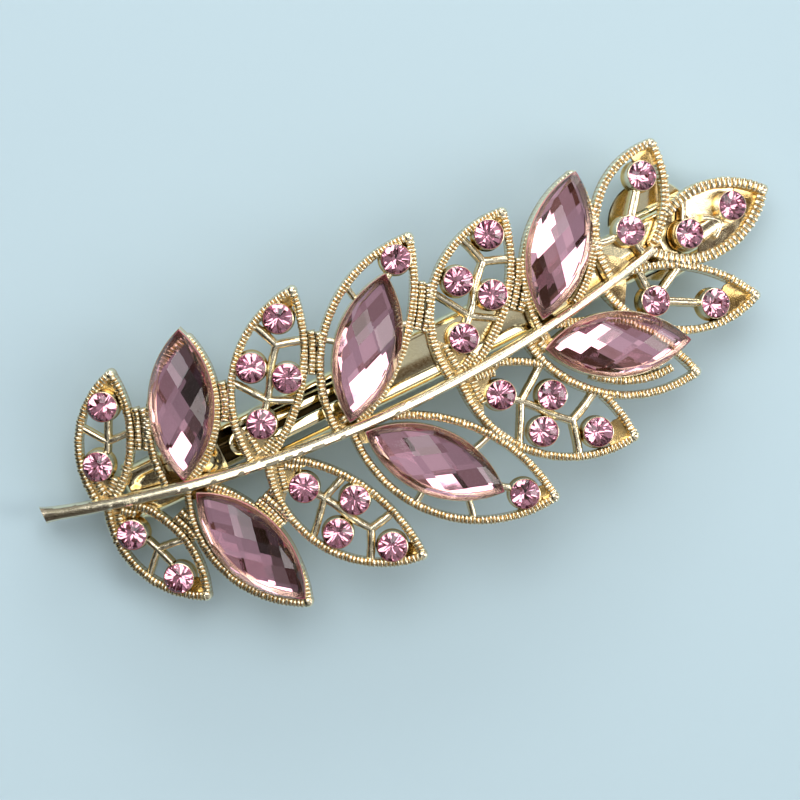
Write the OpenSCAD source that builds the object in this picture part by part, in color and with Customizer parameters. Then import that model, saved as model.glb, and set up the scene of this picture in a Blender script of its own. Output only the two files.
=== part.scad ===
// Leaf-spray hair clip: a cast leaf spray with glued stones on a sprung 70 mm barrette clip.
// +X runs along the clip to its latch, +Z points out of the hair, and the origin is the
// middle of the locking arm's flat underside.

/* [Spray] */
// Radius of the lengthwise bow that the spray and the clip share
bow_r = 140; // [110:5:240]
// Height of the leaf plane over the arm's underside at mid-length
leaf_z = 11.4; // [11:0.2:14]
// Width of the knurled border round each leaf
rim_w = 0.95; // [0.7:0.05:1.2]
// Thickness of the leaf borders
rim_t = 1.6; // [1.2:0.1:2]
// Width of the veins inside a leaf
vein_w = 0.75; // [0.5:0.05:1]
// Radius of the stem's curve in the leaf plane
stem_r = 145; // [120:5:200]
// Width of the stem at the middle of its length
stem_w = 1.2; // [0.9:0.1:1.4]

/* [Stones] */
// Diameter of the round stones
round_d = 3.06; // [2.8:0.02:3.2]
// Length of the pointed oval stones
oval_l = 16.2; // [15:0.1:16.2]
// Width of the pointed oval stones
oval_w = 7; // [6:0.1:7]

/* [Clip] */
// Width of the base plate
plate_w = 5.8; // [5.4:0.2:6.6]
// Thickness of the clip's sheet metal
sheet = 0.6; // [0.5:0.05:0.7]
// Length of the base plate, hinge to latch
plate_l = 70; // [68:1:72]
// Width of the locking arm
arm_w = 4.4; // [4:0.2:4.4]
// Radius of the hinge pin
pin_r = 0.5; // [0.4:0.05:0.6]
// Running clearance round the pins
run_gap = 0.05; // [0.02:0.01:0.08]

/* [Hidden] */
$fn = 64;
eps = 0.02;             // gap between glued faces
plate_top = -1.0;       // offsets from the leaf plane, measured square to the bow
stem_top = 1.4;
vein_top = 0.2;
rim_top = plate_top + rim_t;
cup_top = 1.0;
cup_r = round_d / 2 + 0.3;
recess_floor = 0.35;
oval_seat = rim_top + eps;
oval_h = 2.7;
root_depth = 1.5;       // how far a leaf's outline starts behind the stem's centre line
stem_low = -3.8;        // where the stem's curve is lowest across the clip
stem_mid = -4;          // and along it
stem_taper = 1.0;       // offset between the two circles that bound the stem
stem_ends = [-44.6, 27];
bow_z = leaf_z - bow_r;

// One row a leaf: name, station along the stem, angle, reach from the stem, bulge to the
// left and to the right of its axis, its veins, and 1 or -1 for the side that bulges more.
// Then the oval stone's distance along the axis, offset to the full side and turn, and the
// round stones' distances and offsets.
FOUR = [[4.4, 0.6], [9.7, -1.2], [10.1, 2.8], [15.8, 0.9]];
LEAVES = [
    ["top_1",    -38.5,  62, 15.2, 3.7, 2.9, "pair",   1, [], [[4.3, 0.9], [10.8, 0.6]]],
    ["top_2",    -31.0,  59, 17.3, 3.9, 4.3, "plain",  1, [9.3, 0, 7], []],
    ["top_3",    -21.5,  54, 19.9, 5.1, 3.3, "four",   1, [], FOUR],
    ["top_4",    -12.0,  46, 23.0, 5.9, 3.7, "barred", 1, [9.5, 0.5, 5], [[19.4, 0.6]]],
    ["top_5",      1.5,  49, 19.45, 5.6, 3.4, "four",   1, [], FOUR],
    ["top_6",     12.3,  53, 17.75, 4.0, 4.4, "plain",  1, [9.05, 0.15, -2], []],
    ["top_7",     22.0,  48, 16.1, 4.6, 3.9, "pair",   1, [], [[5.2, 0], [11.3, 0.3]]],
    ["end",       27.0,   1, 15.9, 4.1, 4.3, "pair",   1, [], [[4.4, -0.4], [10.4, 0.1]]],
    ["bottom_7",  20.5, -29, 18.3, 3.2, 4.8, "pair",  -1, [], [[5.5, 1.4], [12.4, 1.25]]],
    ["bottom_6",  10.4, -37, 20.0, 3.8, 4.7, "plate", -1, [9.7, -1.2, -14.5], []],
    ["bottom_5",   2.2, -45, 20.8, 4.6, 5.6, "four",  -1, [], FOUR],
    ["bottom_4", -10.5, -45, 23.6, 4.7, 6.3, "barred", -1, [9.1, 0.65, 4], [[19.4, 0.75]]],
    ["bottom_3", -20.1, -58, 20.0, 3.3, 5.4, "four",  -1, [], FOUR],
    ["bottom_2", -29.0, -71, 18.6, 3.6, 4.6, "plain", -1, [9.0, 0, -1.1], []],
    ["bottom_1", -37.9, -69.2, 15.1, 3.4, 3.6, "pair", -1, [], [[3.85, 0.7], [10.7, 0.55]]],
];
END = 7;                // row of the leaf at the stem's end
// Bridges between neighbours: leaf that carries it, distance along its axis, length
WEBS = [[0, 8.5, 4.6], [1, 10, 4.4], [2, 12.8, 4.7], [3, 15.5, 5.2], [4, 11.5, 5.6],
        [5, 11, 5], [13, 8, 4], [14, 7.5, 3.4]];

function oval_of(k) = LEAVES[k][8];
function rounds(k) = LEAVES[k][9];
function has_oval(k) = len(oval_of(k)) > 0;
function round_count(k) = len(rounds(k));
function leaf_name(k) = str("leaf_", LEAVES[k][0]);
function oval_name(k) = str("oval_stone_", LEAVES[k][0]);
function round_name(k, i) = str("round_stone_", LEAVES[k][0], "_", i + 1);
function bow_x(u) = bow_r * sin(u / bow_r * 180 / PI);
function stem_y(x) = stem_low + stem_r - sqrt(pow(stem_r, 2) - pow(x - stem_mid, 2));
function mid_station(k) = LEAVES[k][1] + LEAVES[k][3] / 2 * cos(LEAVES[k][2]);
function bow_drop(x, off) = bow_z + sqrt(pow(bow_r + off, 2) - x * x);

COUNT = len(LEAVES);

gold = [0.86, 0.76, 0.52];
bright_gold = [0.93, 0.86, 0.66];
pink = [0.76, 0.52, 0.64];

// ---- placing things on the bow ----

// Children drawn flat at [0, 0] land on the leaf plane at the station, square to the bow
module on_bow(station) {
    translate([0, 0, bow_z]) rotate([0, station / bow_r * 180 / PI, 0])
        translate([0, 0, bow_r]) children();
}

// Children drawn along +X from the stem land in the place of leaf k
module in_leaf(k) {
    root = LEAVES[k][1];
    mid = mid_station(k);
    on_bow(mid) translate([root - mid, stem_y(bow_x(root)), 0])
        rotate([0, 0, LEAVES[k][2]]) children();
}

// The solid between two offsets from the leaf plane, as wide as it is asked to be
module bow_shell(low, high, width) {
    translate([0, width / 2, bow_z]) rotate([90, 0, 0]) difference() {
        cylinder(r = bow_r + high, h = width, $fn = 256);
        translate([0, 0, -1]) cylinder(r = bow_r + low, h = width + 2, $fn = 256);
    }
}

// ---- outlines ----

module bulge_disc(length, rise) {
    r = (length * length / 4 + rise * rise) / (2 * rise);
    translate([length / 2, rise - r]) circle(r);
}

// Pointed outline from [0, 0] to [length, 0]
module lens(length, left, right) {
    intersection() {
        bulge_disc(length, left);
        mirror([0, 1]) bulge_disc(length, right);
    }
}

// Outline of leaf k, drawn in by inset
module blade(k, inset) {
    leaf = LEAVES[k];
    tip_inset = inset > 0 ? 1.8 * inset : inset;
    translate([-root_depth + tip_inset, 0])
        lens(leaf[3] + root_depth - 2 * tip_inset, leaf[4] - inset, leaf[5] - inset);
}

module bar(from, to, width) {
    way = to - from;
    translate(from) rotate(atan2(way[1], way[0])) translate([0, -width / 2])
        square([norm(way), width]);
}

module oval_outline(k, inset) {
    place = oval_of(k);
    full = LEAVES[k][7];
    length = oval_l - 2 * inset;
    translate([place[0], full * place[1]]) rotate(full * place[2])
        translate([-length / 2, 0]) lens(length, oval_w / 2 - inset, oval_w / 2 - inset);
}

// Veins, seats and bridges of leaf k, before they are trimmed to its outline
module pair_veins() {
    bar([3, 0], [12, 0], vein_w);
    for (side = [-1, 1]) bar([5.8, 0], [8.8, 3.6 * side], vein_w);
}

module four_veins() {
    bar([0, 0.5], [16, 0.8], vein_w);
    bar([6.9, 0.6], [8.3, 5.2], vein_w);
    bar([6.9, 0.6], [7.9, -4], vein_w);
    bar([12.4, 0.7], [15.2, 4], vein_w);
    bar([12.4, 0.7], [14.6, -4], vein_w);
}

module oval_bars() {
    for (t = [3.5, 8.2, 13]) bar([t, -6], [t + 1, 6], vein_w);
    bar([15.5, 0.5], [19.4, 0.6], vein_w);
}

module veins(k) {
    style = LEAVES[k][6];
    scale([1, LEAVES[k][7]]) {
        if (style == "pair") pair_veins();
        if (style == "four") four_veins();
        if (style == "barred") oval_bars();
    }
}

module leaf_lattice(k) {
    difference() {
        intersection() {
            blade(k, rim_w / 2);
            union() {
                veins(k);
                if (has_oval(k)) oval_outline(k, 0.4);
                if (LEAVES[k][6] == "plate") translate([6, -6]) square([10, 5]);
            }
        }
        if (has_oval(k)) oval_outline(k, 1.3);
    }
}

// Bridge to the next leaf along the stem
module leaf_web(k) {
    side = k < END ? -1 : 1;
    bulge = k < END ? LEAVES[k][5] : LEAVES[k][4];
    for (w = WEBS) if (w[0] == k) difference() {
        translate([w[1] - w[2] / 2, side > 0 ? 0 : -bulge - 2.6]) square([w[2], bulge + 2.6]);
        blade(k, rim_w / 2);
    }
}

// ---- the casting ----

module stem_side(r_change, shift) {
    translate([stem_mid + shift, stem_low + stem_r, -20])
        cylinder(r = stem_r + r_change, h = 60, $fn = 256);
}

module stem() {
    length = stem_ends[1] - stem_ends[0];
    color(bright_gold) intersection() {
        bow_shell(plate_top + eps, stem_top, 40);
        difference() {
            stem_side(stem_w / 2, 0);
            stem_side(-stem_w / 2, stem_taper);
        }
        translate([stem_ends[0], -8, -20]) cube([length, 16, 60]);
    }
}

module cups(k) {
    for (p = rounds(k)) translate([p[0], LEAVES[k][7] * p[1], plate_top + eps])
        cylinder(r = cup_r, h = cup_top - plate_top - eps);
}

module recesses(k) {
    for (p = rounds(k)) translate([p[0], LEAVES[k][7] * p[1], recess_floor])
        cylinder(r = round_d / 2 + 0.03, h = 4);
}

module leaf_body(k) {
    low = plate_top + eps;
    difference() {
        union() {
            translate([0, 0, low]) linear_extrude(rim_top - low) difference() {
                blade(k, 0);
                blade(k, rim_w);
            }
            translate([0, 0, low]) linear_extrude(vein_top - low) leaf_lattice(k);
            translate([0, 0, low]) linear_extrude(rim_top - 0.3 - low) leaf_web(k);
            cups(k);
        }
        recesses(k);
    }
}

// Room that leaf k needs, kept out of the neighbour that gives way to it
module blade_space(k) {
    in_leaf(k) translate([0, 0, -4]) linear_extrude(8) blade(k, -0.06);
}

// Room for the oval stone of leaf k, kept out of a neighbour's cup
module oval_space(k) {
    in_leaf(k) translate([0, 0, rim_top]) linear_extrude(4) oval_outline(k, -0.04);
}

// Each leaf gives way to the next one along the stem, and the end leaf to both of its own
module leaf(k) {
    side_gap = stem_w / 2 + 0.04;
    color(gold) difference() {
        intersection() {
            in_leaf(k) leaf_body(k);
            if (k < END) stem_side(-side_gap, stem_taper);
            if (k == END) translate([stem_ends[1] + 0.04, -20, -20]) cube(60);
        }
        if (k > END) stem_side(side_gap, 0);
        if (k < END - 1) blade_space(k + 1);
        if (k > END + 1) blade_space(k - 1);
        if (k == END) for (side = [-1, 1]) blade_space(END + side);
        if (k > END && k < COUNT - 1) if (has_oval(k + 1)) oval_space(k + 1);
    }
}

// ---- the stones ----

module round_stone(k, i) {
    p = rounds(k)[i];
    r = round_d / 2;
    floor_z = recess_floor + eps;
    color(pink) in_leaf(k) translate([p[0], LEAVES[k][7] * p[1], 0]) rotate_extrude()
        polygon([[0, floor_z], [0.75 * r, floor_z], [r, 0.95], [r, 1.1],
                 [0.6 * r, 1.7], [0, 1.7]]);
}

module oval_stone(k) {
    place = oval_of(k);
    full = LEAVES[k][7];
    cross_r = 4.6;
    long_r = 24;
    top = oval_seat + oval_h;
    color(pink) in_leaf(k) intersection() {
        translate([0, 0, oval_seat]) linear_extrude(oval_h) oval_outline(k, 0);
        translate([place[0], full * place[1], top]) rotate(full * place[2]) {
            translate([-10, 0, -cross_r]) rotate([0, 90, 0]) cylinder(r = cross_r, h = 20);
        }
        translate([place[0], full * place[1], top]) rotate(full * place[2]) {
            translate([0, 10, -long_r]) rotate([90, 0, 0]) cylinder(r = long_r, h = 20, $fn = 128);
        }
    }
}

// ---- the clip ----

half_l = plate_l / 2;
flange_y = plate_w / 2 - sheet;
flange_low = plate_top - 2;
flange_end = 23;        // the latch end has no flanges, to leave room for the ears
hinge = [-half_l + 0.8, 2.3];
ear_r = 1.5;
window = [-24.5, -10];  // along X: shows the tension strip
window_w = 4.5;
arm_t = 0.8;
arm_lip = 1.3;
lip_t = 0.5;
arm_tip = half_l - 1;
barrel_r = 1.15;
strip_t = 0.35;
strip_w = 3.4;
strip_half = 23.4;
strip_dip = 0.9;
strip_low = bow_drop(strip_half, plate_top - sheet) - 0.1 - strip_t - strip_dip;
strip_r = (strip_half * strip_half + strip_dip * strip_dip) / (2 * strip_dip);
slot = [-22.6, -6.6];   // along X: lets the strip flex evenly
slot_w = 0.8;
tab = [1.6, 1, 0.4];    // folded from the flanges, under the strip's ends
tab_x = 20.1;
latch_x = [29, 33];     // the ears' barrels
latch_pin = [2.95, 4.4];
latch_pin_r = 0.3;
ear_t = 0.5;
ear_barrel_r = 0.6;
ear_low = 0.3;
lobe_r = 4.8;           // the part of an ear that a finger presses
lobe_x = 28.8;
lobe_y = [1.7, 0];      // centres of the left and right lobes, from the middle of the clip
saddle = [latch_x[0] - 1.6, latch_x[1] + 1.4];
cheek = [1.8, 2.25];    // faces of the saddle's cheeks across the clip
cheek_low = 3.8;
post_l = 1.2;

module flange_block(y) {
    translate([0, y, 0]) intersection() {
        translate([0, -sheet / 2, 0]) bow_shell(flange_low, plate_top, 2 * plate_w);
        translate([-half_l, 0, 0]) cube([half_l + flange_end, sheet, 20]);
    }
}

module hinge_ear(y) {
    root_z = bow_drop(half_l - 2, flange_low) + 0.5;
    translate([0, y + sheet, 0]) rotate([90, 0, 0]) linear_extrude(sheet) {
        translate(hinge) circle(ear_r);
        polygon([[hinge[0] - ear_r, hinge[1]], [hinge[0] + ear_r, hinge[1]],
                 [-half_l + 7, root_z], [-half_l, root_z - 0.9]]);
    }
}

// Tabs that keep the tension strip's ends inside the channel
module strip_tabs() {
    top = strip_low + strip_r - sqrt(strip_r * strip_r - tab_x * tab_x) - eps;
    inner = flange_y + 0.1;
    for (end = [-1, 1], side = [-1, 1])
        translate([end > 0 ? tab_x : -tab_x - tab[0], side > 0 ? inner - tab[1] : -inner,
                   top - tab[2]]) cube(tab);
}

module base_plate() {
    color(bright_gold) difference() {
        union() {
            intersection() {
                bow_shell(plate_top - sheet, plate_top, plate_w);
                translate([-half_l, -plate_w, 0]) cube([plate_l, 2 * plate_w, 20]);
            }
            flange_block(flange_y);
            flange_block(-plate_w / 2);
            hinge_ear(flange_y);
            hinge_ear(-plate_w / 2);
            strip_tabs();
        }
        translate([window[0], -window_w / 2, 0]) cube([window[1] - window[0], window_w, 20]);
        translate([hinge[0], 10, hinge[1]]) rotate([90, 0, 0]) cylinder(r = pin_r, h = 20);
    }
}

module hinge_pin() {
    color(bright_gold) translate([hinge[0], plate_w / 2 + 0.3, hinge[1]]) rotate([90, 0, 0])
        cylinder(r = pin_r, h = plate_w + 0.6);
}

// Flat underside, turned-up lips along both edges, and a barrel rolled round the pin
module locking_arm() {
    half = arm_w / 2;
    color(bright_gold) difference() {
        union() {
            translate([hinge[0], half, hinge[1]]) rotate([90, 0, 0]) cylinder(r = barrel_r, h = arm_w);
            translate([0, half, 0]) rotate([90, 0, 0]) linear_extrude(arm_w)
                polygon([[hinge[0], hinge[1] - barrel_r], [hinge[0] + 0.6, 0], [hinge[0] + 5, 0],
                         [hinge[0] + 4, arm_t], [hinge[0] + barrel_r, hinge[1]]]);
            translate([hinge[0] + 1, -half, 0]) cube([arm_tip - hinge[0] - 1, arm_w, arm_t]);
            for (side = [-1, 1]) translate([hinge[0] + 3, side > 0 ? half - lip_t : -half, 0])
                cube([arm_tip - hinge[0] - 5, lip_t, arm_lip]);
        }
        translate([hinge[0], 10, hinge[1]]) rotate([90, 0, 0]) cylinder(r = pin_r + run_gap, h = 20);
    }
}

// Leaf spring with round ends, dished away from the base plate
module tension_strip() {
    color(bright_gold) intersection() {
        translate([0, strip_w / 2, strip_low + strip_r]) rotate([90, 0, 0]) difference() {
            cylinder(r = strip_r, h = strip_w, $fn = 256);
            translate([0, 0, -1]) cylinder(r = strip_r - strip_t, h = strip_w + 2, $fn = 256);
        }
        linear_extrude(20) difference() {
            union() {
                square([2 * strip_half - strip_w, strip_w], center = true);
                for (side = [-1, 1]) translate([side * (strip_half - strip_w / 2), 0])
                    circle(strip_w / 2);
            }
            translate([slot[0], -slot_w / 2]) square([slot[1] - slot[0], slot_w]);
        }
    }
}

// Bracket under the base plate's end, with a pin along each side for the press ears
module latch_saddle() {
    top = bow_drop(saddle[1], plate_top - sheet) - eps;
    length = saddle[1] - saddle[0];
    color(bright_gold) {
        for (hand = [0, 1]) mirror([0, hand, 0]) {
            translate([saddle[0], cheek[0], cheek_low])
                cube([length, cheek[1] - cheek[0], top - cheek_low]);
            translate([saddle[0], latch_pin[0], latch_pin[1]]) rotate([0, 90, 0])
                cylinder(r = latch_pin_r, h = length);
            for (x = [saddle[0], saddle[1] - post_l])
                translate([x, cheek[1] - 0.1, latch_pin[1] - latch_pin_r])
                    cube([post_l, latch_pin[0] - cheek[1] + 0.4, 2 * latch_pin_r]);
        }
        translate([saddle[0], -cheek[1], top - 0.5]) cube([length, 2 * cheek[1], 0.5]);
    }
}

// Barrel on the pin, hook beside the arm below it, and a flat lobe to press
module press_ear(middle) {
    length = latch_x[1] - latch_x[0];
    color(bright_gold) difference() {
        union() {
            translate([latch_x[0], latch_pin[0], latch_pin[1]]) rotate([0, 90, 0])
                cylinder(r = ear_barrel_r, h = length);
            translate([latch_x[0], latch_pin[0] - 0.1, ear_low])
                cube([length, ear_t, latch_pin[1] - ear_low]);
            translate([latch_x[0], arm_w / 2 + 0.1, ear_low]) cube([length, 0.9, ear_t]);
            translate([0, 0, latch_pin[1] - ear_barrel_r]) linear_extrude(ear_t) intersection() {
                translate([lobe_x, middle]) circle(lobe_r);
                translate([20, latch_pin[0] + 0.35]) square([16, 8]);
            }
        }
        translate([0, latch_pin[0], latch_pin[1]]) rotate([0, 90, 0])
            cylinder(r = latch_pin_r + run_gap, h = 60);
    }
}

module press_ear_left() {
    press_ear(lobe_y[0]);
}

// Its lobe is shorter, so that it stays behind the leaves on that side
module press_ear_right() {
    mirror([0, 1, 0]) press_ear(lobe_y[1]);
}

// ---- nodes ----

stem();
for (k = [0:COUNT - 1]) {
    leaf(k);
    if (has_oval(k)) oval_stone(k);
    if (round_count(k) > 0) for (i = [0:round_count(k) - 1])
        round_stone(k, i);
}
base_plate();
hinge_pin();
locking_arm();
tension_strip();
latch_saddle();
press_ear_left();
press_ear_right();
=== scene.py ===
"""Looks of the leaf-spray hair clip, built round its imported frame.

Shapes are worked out in millimetres, in the frame's own axes, and become metres when a mesh is
made. A leaf is drawn flat along +X from the stem and is then laid in its place on the bow."""

import math
import random

import bmesh
import bpy
import numpy as np
from mathutils import Matrix, Vector


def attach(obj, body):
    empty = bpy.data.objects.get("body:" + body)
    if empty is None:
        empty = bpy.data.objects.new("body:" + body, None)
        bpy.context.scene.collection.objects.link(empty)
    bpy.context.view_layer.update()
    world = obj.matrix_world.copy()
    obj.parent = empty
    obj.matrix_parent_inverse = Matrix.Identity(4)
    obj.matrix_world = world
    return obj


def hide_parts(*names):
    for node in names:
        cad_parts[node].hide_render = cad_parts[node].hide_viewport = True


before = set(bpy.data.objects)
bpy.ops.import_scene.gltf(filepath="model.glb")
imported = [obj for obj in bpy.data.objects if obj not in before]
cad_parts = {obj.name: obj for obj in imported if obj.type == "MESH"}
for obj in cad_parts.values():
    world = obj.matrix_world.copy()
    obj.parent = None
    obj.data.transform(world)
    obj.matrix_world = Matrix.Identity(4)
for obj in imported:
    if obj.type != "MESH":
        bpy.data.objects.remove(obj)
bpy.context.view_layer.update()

MM = 0.001

# ---- the design's own sizes, as the CAD has them ----

BOW_R = 140
LEAF_Z = 11.4           # height of the leaf plane at mid-length
BOW_Z = LEAF_Z - BOW_R
RIM_W = 0.95
RIM_TOP = 0.6           # heights below are offsets from the leaf plane
LEAF_LOW = -0.98
STEM_TOP = 1.4
STEM_R = 145
STEM_W = 1.2
STEM_LOW = -3.8
STEM_MID = -4
STEM_TAPER = 1.0
STEM_ENDS = (-44.6, 27)
ROOT_DEPTH = 1.5
ROUND_R = 1.53
OVAL_L = 16.2
OVAL_W = 7.0
OVAL_SEAT = RIM_TOP + 0.02
OVAL_TOP = OVAL_SEAT + 2.7
PLATE_L = 70
PLATE_W = 5.8
PLATE_TOP = -1.0
SHEET = 0.6

FOUR = [(4.4, 0.6), (9.7, -1.2), (10.1, 2.8), (15.8, 0.9)]
# name, station, angle, reach, bulge left and right, style, full side, oval stone, round stones
LEAVES = [
    ("top_1", -38.5, 62, 15.2, 3.7, 2.9, "pair", 1, None, [(4.3, 0.9), (10.8, 0.6)]),
    ("top_2", -31.0, 59, 17.3, 3.9, 4.3, "plain", 1, (9.3, 0, 7), []),
    ("top_3", -21.5, 54, 19.9, 5.1, 3.3, "four", 1, None, FOUR),
    ("top_4", -12.0, 46, 23.0, 5.9, 3.7, "barred", 1, (9.5, 0.5, 5), [(19.4, 0.6)]),
    ("top_5", 1.5, 49, 19.45, 5.6, 3.4, "four", 1, None, FOUR),
    ("top_6", 12.3, 53, 17.75, 4.0, 4.4, "plain", 1, (9.05, 0.15, -2), []),
    ("top_7", 22.0, 48, 16.1, 4.6, 3.9, "spine", 1, None, [(5.2, 0), (11.3, 0.3)]),
    ("end", 27.0, 1, 15.9, 4.1, 4.3, "arrow", 1, None, [(4.4, -0.4), (10.4, 0.1)]),
    ("bottom_7", 20.5, -29, 18.3, 3.2, 4.8, "bridge", -1, None, [(5.5, 1.4), (12.4, 1.25)]),
    ("bottom_6", 10.4, -37, 20.0, 3.8, 4.7, "plate", -1, (9.7, -1.2, -14.5), []),
    ("bottom_5", 2.2, -45, 20.8, 4.6, 5.6, "four", -1, None, FOUR),
    ("bottom_4", -10.5, -45, 23.6, 4.7, 6.3, "barred", -1, (9.1, 0.65, 4), [(19.4, 0.75)]),
    ("bottom_3", -20.1, -58, 20.0, 3.3, 5.4, "four", -1, None, FOUR),
    ("bottom_2", -29.0, -71, 18.6, 3.6, 4.6, "plain", -1, (9.0, 0, -1.1), []),
    ("bottom_1", -37.9, -69.2, 15.1, 3.4, 3.6, "pair", -1, None, [(3.85, 0.7), (10.7, 0.55)]),
]
END = 7
# knurled bridges to the next leaf along the stem: leaf, middle along its axis, length
WEBS = [(0, 8.5, 4.6), (1, 10, 4.4), (2, 12.8, 4.7), (3, 15.5, 5.2), (4, 11.5, 5.6),
        (5, 11, 5), (13, 8, 4), (14, 7.5, 3.4)]
# vein lines of each style: width, then points along the axis and to the full side
VEINS = {
    "pair": [
        (0.75, (4.4, 0.2), (7, 0.1), (11, 0.2)),
        (0.7, (6.9, 0.1), (7.6, 1.6), (8.6, 3.6)),
        (0.7, (6.9, 0), (7.8, -1.8), (8.8, -3.6)),
    ],
    "spine": [
        (1.05, (5.2, 0), (8, 0.1), (11.3, 0.3)),
        (0.8, (4.6, 0.8), (3.6, 1.8), (2.9, 3)),
        (0.8, (4.6, -0.8), (3.8, -1.7), (3.3, -3)),
    ],
    "arrow": [
        (0.7, (4.6, 0.8), (5.4, 2.2), (6.2, 3.8)),
        (1.7, (5.2, -1.2), (7.2, -0.9), (8.8, -0.9)),
        (0.7, (8.7, -1), (8, -1.7), (7.3, -2.1)),
        (0.7, (8.6, -0.8), (7.9, -0.1), (7, 0.4)),
    ],
    "bridge": [
        (0.85, (5.5, 1.3), (9, 1.2), (12.4, 1.2)),
        (0.9, (5.2, 0.6), (4.2, -1), (3.4, -2.6)),
        (0.8, (6.2, 0.6), (7.2, -0.9), (8.4, -2.6)),
        (0.8, (5.4, 2), (5.2, 3.2), (5, 4.4)),
    ],
    "four": [
        (0.8, (4.4, 0.6), (6.9, 0.5), (8.6, 0.5), (10, 0.7), (11.5, 0.7), (12.9, 0.6)),
        (0.75, (6.9, 0.5), (7.5, 2.4), (8.2, 4.8)),
        (0.75, (6.9, 0.5), (7.2, -1.3), (7.6, -3.8)),
        (0.85, (12.9, 0.6), (14, 2.3), (15, 4.2)),
        (0.85, (12.9, 0.6), (13.6, -1.2), (14.2, -3.2)),
    ],
    "barred": [
        (0.65, (15.4, 5.4), (14.6, 4.1), (13.6, 2.8)),
        (0.65, (14.1, -4.4), (13.4, -3), (12.6, -1.6)),
        (0.65, (8.7, 5.8), (8.9, 4.8), (9.1, 3.6)),
        (0.75, (16.2, 0.9), (17.2, 0.8), (18.4, 0.6)),
    ],
    "plain": [],
    "plate": [],
}


# ---- places ----

def on_bow(station):
    """Flat drawing at [0, 0] to the leaf plane at a station, square to the bow."""
    return (Matrix.Translation((0, 0, BOW_Z)) @ Matrix.Rotation(station / BOW_R, 4, "Y")
            @ Matrix.Translation((0, 0, BOW_R)))


def stem_y(x):
    return STEM_LOW + STEM_R - math.sqrt(STEM_R ** 2 - (x - STEM_MID) ** 2)


def leaf_place(k):
    station, angle, reach = LEAVES[k][1:4]
    mid = station + reach / 2 * math.cos(math.radians(angle))
    root = (station - mid, stem_y(BOW_R * math.sin(station / BOW_R)), 0)
    return on_bow(mid) @ Matrix.Translation(root) @ Matrix.Rotation(math.radians(angle), 4, "Z")


def bow_height(x, offset):
    return BOW_Z + math.sqrt((BOW_R + offset) ** 2 - x * x)


PLACES = [leaf_place(k) for k in range(len(LEAVES))]


# ---- outlines of leaves ----

def half_lens(x, length, rise):
    """Height at x of an arc that rises from [0, 0] and comes down at [length, 0]."""
    r = (length * length / 4 + rise * rise) / (2 * rise)
    u = min(abs(x - length / 2), r)
    return rise - r + math.sqrt(r * r - u * u)


def blade_ends(k, inset):
    tip = 1.8 * inset if inset > 0 else inset
    return -ROOT_DEPTH + tip, LEAVES[k][3] - tip


def inside_blade(k, point, inset):
    start, end = blade_ends(k, inset)
    x, y = point[0], point[1]
    if not start < x < end:
        return False
    rise = LEAVES[k][4] if y > 0 else LEAVES[k][5]
    return abs(y) < half_lens(x - start, end - start, rise - inset)


def blade_arc(k, side, inset, step=0.05):
    """Points of one side of a leaf's outline, from its root to its tip."""
    start, end = blade_ends(k, inset)
    length = end - start
    rise = (LEAVES[k][4] if side > 0 else LEAVES[k][5]) - inset
    r = (length * length / 4 + rise * rise) / (2 * rise)
    half = math.asin(min(1.0, length / 2 / r))
    count = max(8, int(2 * half * r / step))
    points = []
    for i in range(count + 1):
        a = -half + 2 * half * i / count
        points.append((start + length / 2 + r * math.sin(a), side * (rise - r + r * math.cos(a))))
    return np.array(points)


def stem_clear(k, point):
    """How far a leaf's point lies outside the stem's side, in plan."""
    world = PLACES[k] @ Vector((point[0], point[1], 0))
    if k == END:
        return world.x - STEM_ENDS[1]
    away = STEM_R - math.hypot(world.x - STEM_MID, world.y - STEM_LOW - STEM_R)
    return (away if k < END else -away) - STEM_W / 2


def yields_to(k):
    """The neighbours whose room leaf k stays out of."""
    if k == END:
        return [END - 1, END + 1]
    if k < END - 1:
        return [k + 1]
    if k > END + 1:
        return [k - 1]
    return []


def free(k, point, overlap=0.25):
    """Whether a point of leaf k is clear of the stem and of the neighbours it gives way to."""
    if stem_clear(k, point) < -overlap:
        return False
    world = PLACES[k] @ Vector((point[0], point[1], 0))
    return not any(inside_blade(n, PLACES[n].inverted() @ world, overlap) for n in yields_to(k))


# ---- mesh building ----

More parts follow.
